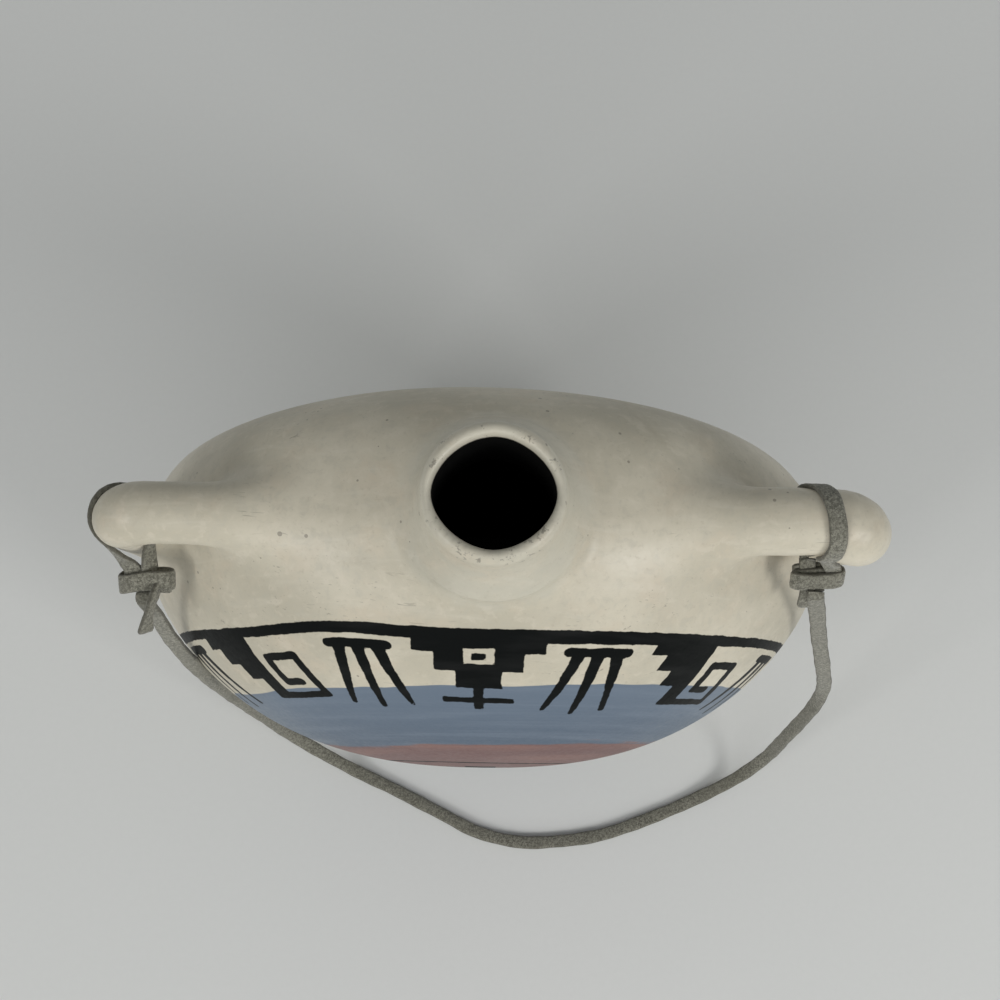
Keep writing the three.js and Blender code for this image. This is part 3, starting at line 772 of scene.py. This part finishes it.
def right_loop():
    """Over the bar from the front, slanting to the left behind it, and back through the eye."""
    along = np.interp(RIGHT_LOOP_DEGREES, list(RIGHT_LOOP_ALONG), list(RIGHT_LOOP_ALONG.values()))
    turn = np.radians(RIGHT_LOOP_DEGREES)
    y, z = HANDLE_Y + LOOP_RADIUS * np.cos(turn), HANDLE_Z + LOOP_RADIUS * np.sin(turn)
    ring = np.stack([along, y, z], 1)
    middle = (0, HANDLE_Y, HANDLE_Z)
    return RIGHT.tie(RIGHT_LOOP_START, ring, RIGHT_LOOP_END, RIGHT_HANDLE, middle, flat=(0, 1, 1), seed=6)


# Routes of the wound laces, as places in their knots
LEFT_BAND = [
    (1.0, -0.9, -1.4), (-2.2, -0.6, -1.4), (-4.6, 0.1, -0.9), (-5.2, 0.5, 0.4), (-3.2, 0.0, 1.5),
    (0.8, -0.7, 1.7), (4.6, -0.9, 1.6), (6.7, -0.8, 0.8), (6.6, -0.8, -0.5), (4.4, -0.9, -1.3),
    (1.3, -1.0, -0.8),
]
LEFT_CORE = [(-4.2, -0.6, 0.1), (0.0, -0.9, 0.2), (5.6, -1.0, 0.1)]
LEFT_FLAP = [(0.5, 0.0, 0.2), (3.0, 0.4, 0.5), (5.2, 0.6, 0.4), (6.4, 0.7, 0.0)]
LEFT_STUB = [(0.2, 0.0, 0.2), (0.4, 2.0, 0.7)]
RIGHT_FOLD = [
    (4.2, -0.7, 0.0), (1.0, -0.4, 0.1), (-2.6, 0.0, 0.1), (-4.8, 0.2, 0.2), (-5.8, 0.3, 0.8),
    (-4.6, 0.4, 1.5), (-2.0, 0.3, 1.7), (0.8, 0.1, 1.7), (3.6, -0.1, 1.6), (5.5, -0.3, 0.8),
    (5.5, -0.5, -0.5), (3.8, -0.8, -1.3), (0.5, -0.9, -1.5), (-3.2, -0.8, -1.4), (-5.4, -0.5, -1.0),
]
RIGHT_STUB = [(-0.4, 0.0, 0.4), (-0.4, 2.0, 0.9)]

# Where the laces go outside the knots, in the CAD frame
LEFT_STUB_END = [(-77.8, -9.0, 140.9), *strap_path[:2]]
RIGHT_STUB_END = [(76.8, -6.3, 144.6), *strap_path[:-3:-1]]
LEFT_TAIL = [(-75.4, -9.6, 142.0), (-76.4, -12.0, 140.6), (-77.5, -14.6, 138.6), (-78.1, -16.8, 136.8)]
RIGHT_TAIL = [(75.6, -6.4, 141.6), (75.7, -8.8, 138.4)]
LEFT_TAIL_INSIDE = (3.4, 0.6, 1.0)
RIGHT_TAIL_INSIDE = (-1.8, 0.8, 0.4)
LEFT_TAIL_FACING = (0.86, -0.19, 0.13), (0.66, -0.42, 0.50)
RIGHT_TAIL_FACING = (0, -0.9, 0.4), (0, -0.9, 0.4)

left_knot = [
    LEFT.wound(LEFT_BAND, width=4.6, seed=11),
    LEFT.wound(LEFT_CORE, width=4.2, seed=12),
    LEFT.wound(LEFT_FLAP, width=3.8, seed=17),
    LEFT.stub(LEFT_STUB, LEFT_STUB_END, seed=18),
]
right_knot = [
    RIGHT.wound(RIGHT_FOLD, width=4.2, seed=13),
    RIGHT.stub(RIGHT_STUB, RIGHT_STUB_END, seed=19),
]
left_tail = LEFT.tail(LEFT_TAIL_INSIDE, LEFT_TAIL, LEFT_TAIL_FACING, seed=15)
right_tail = RIGHT.tail(RIGHT_TAIL_INSIDE, RIGHT_TAIL, RIGHT_TAIL_FACING, seed=16)
ties = [
    lace_piece("left_tie_loop", [left_loop()], "canteen"),
    lace_piece("right_tie_loop", [right_loop()], "canteen"),
    lace_piece("left_knot", left_knot, "canteen"),
    lace_piece("right_knot", right_knot, "canteen"),
    lace_piece("left_tail", [left_tail], "canteen"),
    lace_piece("right_tail", [right_tail], "canteen"),
]

# The clay's surface as a mesh; corner numbers of a grid cell have one bit for each axis
CORNERS = [(i, j, k) for i in (0, 1) for j in (0, 1) for k in (0, 1)]
CELL_EDGES = [(a, a + bit) for a in range(8) for bit in (1, 2, 4) if not a & bit]
ROUND_AN_EDGE = ((-1, -1), (0, -1), (0, 0), (-1, 0))


def surface_net(low, high, step):
    """Points and quads of the clay's surface on a grid, by surface nets."""
    axes = [np.arange(l, h + step, step) for l, h in zip(low, high)]
    shape = tuple(len(a) for a in axes)
    values = np.empty(shape)
    y, z = np.meshgrid(axes[1], axes[2], indexing="ij")
    for i, x in enumerate(axes[0]):
        values[i] = clay_field(np.stack([np.full(y.size, x), y.ravel(), z.ravel()], 1)).reshape(y.shape)
    inside = values < 0
    cells = tuple(n - 1 for n in shape)
    window = [tuple(slice(c, c + n) for c, n in zip(corner, cells)) for corner in CORNERS]
    filled = sum(inside[w].astype(np.int8) for w in window)
    active = (filled > 0) & (filled < len(CORNERS))
    at = np.argwhere(active)
    number = np.full(cells, -1)
    number[active] = np.arange(len(at))
    corner_values = np.stack([values[w][active] for w in window], 1)
    total, hits = np.zeros((len(at), 3)), np.zeros(len(at))
    for a, b in CELL_EDGES:
        va, vb = corner_values[:, a], corner_values[:, b]
        crossed = (va < 0) != (vb < 0)
        share = np.where(crossed, va / np.where(crossed, va - vb, 1), 0)[:, None]
        spot = np.array(CORNERS[a]) + share * (np.array(CORNERS[b]) - np.array(CORNERS[a]))
        total[crossed] += spot[crossed]
        hits[crossed] += 1
    points = (at + total / hits[:, None]) * step + np.array(low)
    quads = []
    for axis in range(3):
        u, v = [k for k in range(3) if k != axis]
        start = [slice(1, -1)] * 3
        start[axis] = slice(0, -1)
        end = list(start)
        end[axis] = slice(1, None)
        spots = np.argwhere(inside[tuple(start)] != inside[tuple(end)])
        spots[:, u] += 1
        spots[:, v] += 1
        around = []
        for du, dv in ROUND_AN_EDGE:
            cell = spots.copy()
            cell[:, u] += du
            cell[:, v] += dv
            around.append(number[tuple(cell.T)])
        quad = np.stack(around, 1)
        leaving = inside[tuple(spots.T)]
        turned = leaving if axis != 1 else ~leaving
        quad[~turned] = quad[~turned][:, ::-1]
        quads.append(quad)
    return points, np.vstack(quads)


# The painted front: rings about the pole, and motifs hung from the border, repeated four times round
BORDER_Y = -17.7
PROFILE_STEPS = 600
POLE_BLEND = (30, 50)
QUARTER = math.pi / 2

# The border line: half its width, its slow sway in and out, and a low arch left of the top
LINE_HALF, LINE_WOBBLE = 1.6, 0.25
SWAY_ONCE, SWAY_TWICE, SWAY_IN = 0.27, 2.06, 0.85
ARCH_AT, ARCH_WIDE, ARCH_RISE = 0.42, 0.25, 1.9

# Motifs as boxes (across, in, across, in) and strokes from point to point, in millimetres from the border
TERRACE_STEPS = [(-15, -1, 15, 5), (-10, 4, 10, 10.5), (-5.2, 9, 5.2, 16)]
TERRACE_WINDOW = (-3.4, 3.6, 3.4, 8.2)
TERRACE_BARS = [(-1.6, 4.9, 1.6, 6.9), (-1.1, 15, 1.1, 24), (-8, 19.4, 8, 21.4)]
FEATHER_TIE = (-7, 4.2), (7, 4.2)
FEATHER_TIE_WIDE = 2.6
FEATHERS = [((-4.6, 5), (-7.2, 23.4)), ((0, 5), (0, 25)), ((4.6, 5), (7.2, 23.4))]
FEATHER_WIDE, FEATHER_TIP = 3.2, 1.4
FRET_STEPS = [(-15, -1, 3.5, 4.6), (-10.5, 4, 3.5, 9.4), (-6, 9, 3.5, 14.4), (-1.5, 14, 3.5, 21.6)]
FRET_SPIRAL = [(2, 20.4), (16, 20.4), (16, 7.4), (7, 7.4), (7, 15.6), (11.6, 15.6)]
FRET_WIDE = 2.4
FEATHERS_AT = math.radians(21)
FRET_AT = math.radians(42.5)
POLE_RING, POLE_RING_HALF = 25, 0.7
CROSS_BOXES = [(-4, -16, 4, 16), (-16, -4, 16, 4), (-9, -9, 9, 9)]
CROSS_WINDOW = (-3.4, -3.4, 3.4, 3.4)
UNPAINTED = 4.0


def front_profile():
    """Radius, Y and arc length from the seam along the front bowl's outline."""
    t = np.sin(np.linspace(0, 1, PROFILE_STEPS) * math.pi / 2)
    r = BODY_RADIUS * np.maximum(1 - t ** FRONT_DEPTH_POWER, 0) ** (1 / FRONT_RADIUS_POWER)
    y = SEAM_Y - FRONT_DEPTH * t
    return r, y, run_along(np.stack([r, y], 1))


PROFILE_R, PROFILE_Y, PROFILE_RUN = front_profile()
BORDER_RUN = float(np.interp(-BORDER_Y, -PROFILE_Y, PROFILE_RUN))


def paint_place(p):
    """Angle from the top, radius, and length along the bowl inward from the border."""
    angle = np.arctan2(p[:, 0], p[:, 2] - CENTRE_Z)
    radius = np.hypot(p[:, 0], p[:, 2] - CENTRE_Z)
    by_depth = np.interp(-p[:, 1], -PROFILE_Y, PROFILE_RUN)
    by_radius = np.interp(radius, PROFILE_R[::-1], PROFILE_RUN[::-1])
    share = smooth_step(radius, *POLE_BLEND)
    return angle, radius, by_depth * share + by_radius * (1 - share) - BORDER_RUN


def box_gap(u, v, u0, v0, u1, v1):
    """Distance out from a box, negative in it."""
    du = np.abs(u - (u0 + u1) / 2) - abs(u1 - u0) / 2
    dv = np.abs(v - (v0 + v1) / 2) - abs(v1 - v0) / 2
    return np.hypot(np.maximum(du, 0), np.maximum(dv, 0)) + np.minimum(np.maximum(du, dv), 0)


def boxes_gap(u, v, boxes):
    return np.min([box_gap(u, v, *box) for box in boxes], axis=0)


def stroke_gap(u, v, a, b, wide_a, wide_b):
    """Distance out from a stroke from a to b, negative in it."""
    a, b = np.array(a, float), np.array(b, float)
    span = b - a
    share = np.clip(((u - a[0]) * span[0] + (v - a[1]) * span[1]) / (span @ span), 0, 1)
    gap = np.hypot(u - a[0] - share * span[0], v - a[1] - share * span[1])
    return gap - (wide_a + (wide_b - wide_a) * share) / 2


def terrace(u, v):
    """Steps hung from the border, with a window and a stem of bars below."""
    gap = np.maximum(boxes_gap(u, v, TERRACE_STEPS), -box_gap(u, v, *TERRACE_WINDOW))
    return np.minimum(gap, boxes_gap(u, v, TERRACE_BARS))


def feathers(u, v):
    """Three strokes that fan out inward, tied by a short bar."""
    gap = stroke_gap(u, v, *FEATHER_TIE, FEATHER_TIE_WIDE, FEATHER_TIE_WIDE)
    for root, tip in FEATHERS:
        gap = np.minimum(gap, stroke_gap(u, v, root, tip, FEATHER_WIDE, FEATHER_TIP))
    return gap


def step_fret(u, v):
    """Half a staircase hung from the border, joined to a squared spiral."""
    gap = boxes_gap(u, v, FRET_STEPS)
    for a, b in zip(FRET_SPIRAL[:-1], FRET_SPIRAL[1:]):
        gap = np.minimum(gap, stroke_gap(u, v, a, b, FRET_WIDE, FRET_WIDE))
    return gap


def painted_gap(p):
    """Distance out from the edge of the black paint, negative in it."""
    angle, radius, inward = paint_place(p)
    arch = np.exp(-((angle + ARCH_AT) / ARCH_WIDE) ** 2)
    sway = SWAY_ONCE * np.sin(angle) + SWAY_TWICE * np.cos(2 * angle) - SWAY_IN - ARCH_RISE * arch
    hung = inward - sway

    def from_middle(middle):
        return ((angle - middle + QUARTER / 2) % QUARTER - QUARTER / 2) * radius

    gap = np.abs(hung) - LINE_HALF - LINE_WOBBLE * np.sin(3 * angle + 1)
    gap = np.minimum(gap, terrace(from_middle(0), hung))
    gap = np.minimum(gap, feathers(from_middle(FEATHERS_AT), hung))
    gap = np.minimum(gap, feathers(from_middle(-FEATHERS_AT), hung))
    gap = np.minimum(gap, step_fret(from_middle(FRET_AT), hung))
    # A thin ring and a stepped cross about the pole
    gap = np.minimum(gap, np.abs(radius - POLE_RING) - POLE_RING_HALF)
    u, v = p[:, 0], p[:, 2] - CENTRE_Z
    cross = np.maximum(boxes_gap(u, v, CROSS_BOXES), -box_gap(u, v, *CROSS_WINDOW))
    gap = np.minimum(gap, cross)
    return np.where(p[:, 1] < 0, np.clip(gap, -UNPAINTED, UNPAINTED), UNPAINTED)


# Places on the clay for its material: how far the collar counts, the lip, the outside, and tilt of the rings
COLLAR_COUNTS = 6
LIP_HEIGHT = (TOP_Z - 6, TOP_Z - 2)
LIP_OUTSIDE = (-2, -1)
OUTSIDE = -2
RING_TILT, RING_LIFT, RING_SHIFT = 2.5, 2, 0.2
NO_RING = -30


def dress_clay(mesh, capped):
    """Normals from the field, attributes for paint and slip, and the material; capped faces are flat cuts."""
    co = np.empty(len(mesh.vertices) * 3)
    mesh.vertices.foreach_get("co", co)
    p = co.reshape(-1, 3) / MM
    normal = unit(gradient(clay_field, p))
    corner = np.empty(len(mesh.loops), int)
    mesh.loops.foreach_get("vertex_index", corner)
    loop_normal = normal[corner]
    for polygon in mesh.polygons:
        if capped[polygon.index]:
            loop_normal[polygon.loop_start:polygon.loop_start + polygon.loop_total] = polygon.normal
    mesh.polygons.foreach_set("use_smooth", [True] * len(mesh.polygons))
    mesh.normals_split_custom_set(loop_normal.tolist())
    depth = np.maximum(outer_field(p), -p[:, 2])
    set_attribute(mesh, "depth", depth)
    set_attribute(mesh, "collar", np.clip(neck_field(p), -COLLAR_COUNTS, COLLAR_COUNTS))
    set_attribute(mesh, "lip", smooth_step(p[:, 2], *LIP_HEIGHT) * smooth_step(depth, *LIP_OUTSIDE))
    front = (p[:, 1] < 0) & (depth > OUTSIDE)
    angle, _, inward = paint_place(p)
    tilted = inward + RING_TILT * np.sin(angle) + RING_LIFT * (1 - np.cos(angle)) - RING_SHIFT
    set_attribute(mesh, "ring", np.where(front, tilted, NO_RING))
    set_attribute(mesh, "ink", np.where(front, painted_gap(p), UNPAINTED))
    mesh.materials.append(CLAY)


# The grid's spacing and where it starts, so placed that no cell is pinched between both sides of the thin lip
GRID, GRID_LOW = ((1.25, (-94, -50.6, -2.8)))
GRID_HIGH = (93, 50, 193)

# Faces with paint: in front of this Y and not facing back more than this
PAINTED_Y = -14
PAINTED_NORMAL_Y = 0.3

# Cuts between the pieces, as far out from the middle of the body; those of the handles lean
NECK_CUT = 90.5
HANDLE_CUT = 93.5
HANDLE_CUT_LEAN = math.radians(39)
ON_PLANE = 1e-5


def clay_mesh():
    """The whole clay as a bmesh in millimetres, with a layer that marks cut faces."""
    points, quads = surface_net(GRID_LOW, GRID_HIGH, GRID)
    points = onto_surface(points)
    mesh = bpy.data.meshes.new("clay_whole")
    mesh.from_pydata(points.tolist(), [], quads.tolist())
    work = bmesh.new()
    work.from_mesh(mesh)
    bpy.data.meshes.remove(mesh)
    work.faces.layers.int.new("cap")
    # Finer faces where the front is painted
    shown = []
    for face in work.faces:
        if face.calc_center_median().y < PAINTED_Y and face.normal.y < PAINTED_NORMAL_Y:
            shown.append(face)
    depth = outer_field(np.array([face.calc_center_median() for face in shown]))
    shown = [face for face, d in zip(shown, depth) if d > OUTSIDE]
    edges = list(dict.fromkeys(edge for face in shown for edge in face.edges))
    bmesh.ops.subdivide_edges(work, edges=edges, cuts=1, use_grid_fill=True)
    fresh = onto_surface(np.array([v.co for v in work.verts]))
    for v, co in zip(work.verts, fresh):
        v.co = co
    return work


def split(work, at, normal):
    """Two closed meshes: the part on the normal's side of the plane, and the rest."""
    halves = []
    for outer in (False, True):
        half = work.copy()
        done = bmesh.ops.bisect_plane(
            half,
            geom=half.verts[:] + half.edges[:] + half.faces[:],
            dist=ON_PLANE,
            plane_co=at,
            plane_no=normal,
            clear_outer=outer,
            clear_inner=not outer,
        )
        rim = [e for e in done["geom_cut"] if isinstance(e, bmesh.types.BMEdge)]
        filled = bmesh.ops.triangle_fill(half, use_beauty=True, edges=rim)
        cap = half.faces.layers.int["cap"]
        for face in filled["geom"]:
            if isinstance(face, bmesh.types.BMFace):
                face[cap] = 1
        bmesh.ops.recalc_face_normals(half, faces=half.faces)
        halves.append(half)
    work.free()
    return halves


def clay_piece(node, work):
    """One clay piece in place of the CAD node, from a bmesh in millimetres."""
    bmesh.ops.scale(work, vec=(MM, MM, MM), verts=work.verts)
    mesh = bpy.data.meshes.new(node + "_clay")
    cap = work.faces.layers.int["cap"]
    capped = [face[cap] == 1 for face in work.faces]
    work.to_mesh(mesh)
    work.free()
    mesh.attributes.remove(mesh.attributes["cap"])
    dress_clay(mesh, capped)
    add_object(node + "_clay", mesh, "canteen", node)


def make_clay():
    whole = clay_mesh()
    neck, whole = split(whole, (0, 0, CENTRE_Z + NECK_CUT), (0, 0, 1))
    for node, hand in (("left_handle", -1), ("right_handle", 1)):
        out = (hand * math.cos(HANDLE_CUT_LEAN), 0, math.sin(HANDLE_CUT_LEAN))
        at = np.array([0, 0, CENTRE_Z]) + np.array(out) * HANDLE_CUT
        handle, whole = split(whole, at, out)
        clay_piece(node, handle)
    front, back = split(whole, (0, SEAM_Y, 0), (0, -1, 0))
    clay_piece("neck", neck)
    clay_piece("front_shell", front)
    clay_piece("back_shell", back)


make_clay()

# Floor and light
FLOOR_HALF = 3.0
FLOOR_DROP = 0.0001
FLOOR_DARK = (0.71, 0.723, 0.715)
FLOOR_LIGHT = (0.745, 0.755, 0.75)
FLOOR_FLECK = (0.5, 0.5, 0.5)
WORLD_COLOUR = (0.96, 0.98, 0.97, 1)
WORLD_STRENGTH = 0.33
LAMP_COLOUR = (1.0, 0.99, 0.97)
LAMP_SIZE = (0.35, 0.35)
WINDOW_SIZE = (1.8, 1.1)
MIDDLE = (0.0, 0.0, 0.05)
RIGHT_SIDE = (0.14, -0.05, 0.0)


def floor_material():
    n = Nodes("pale_table")
    place = n.place()
    tone = n.mix(n.noise(place, 4, 3), FLOOR_DARK, FLOOR_LIGHT)
    n.feed(n.shader.inputs["Base Color"], n.tint(tone, FLOOR_FLECK, 0.1, n.noise(place, 500, 3)))
    n.feed(n.shader.inputs["Roughness"], 0.7)
    n.feed(n.shader.inputs["Specular IOR Level"], 0.2)
    return n.material


def make_stage():
    mesh = bpy.data.meshes.new("floor")
    r = FLOOR_HALF
    mesh.from_pydata([(-r, -r, 0), (r, -r, 0), (r, r, 0), (-r, r, 0)], [], [(0, 1, 2, 3)])
    mesh.transform(Matrix.Translation((0, 0, -FLOOR_DROP)))
    mesh.materials.append(floor_material())
    floor = bpy.data.objects.new("floor", mesh)
    scene.collection.objects.link(floor)
    world = bpy.data.worlds.new("studio")
    scene.world = world
    world.use_nodes = True
    world.node_tree.nodes["Background"].inputs["Color"].default_value = WORLD_COLOUR
    world.node_tree.nodes["Background"].inputs["Strength"].default_value = WORLD_STRENGTH


def make_lamp(name, at, target, size, power):
    data = bpy.data.lights.new(name, "AREA")
    data.shape = "RECTANGLE"
    data.size, data.size_y = size
    data.energy = power
    data.color = LAMP_COLOUR
    lamp = bpy.data.objects.new(name, data)
    aim = Vector(target) - Vector(at)
    lamp.rotation_euler = aim.to_track_quat("-Z", "Y").to_euler()
    lamp.location = at
    scene.collection.objects.link(lamp)


make_stage()
make_lamp("window", (0.0, -1.1, 0.82), MIDDLE, WINDOW_SIZE, power=5.8)
make_lamp("left_lamp", (-0.92, -0.66, 0.8), MIDDLE, LAMP_SIZE, power=3.6)
make_lamp("right_lamp", (0.86, -0.58, 0.72), RIGHT_SIDE, LAMP_SIZE, power=4.2)
scene.view_settings.view_transform = "Standard"
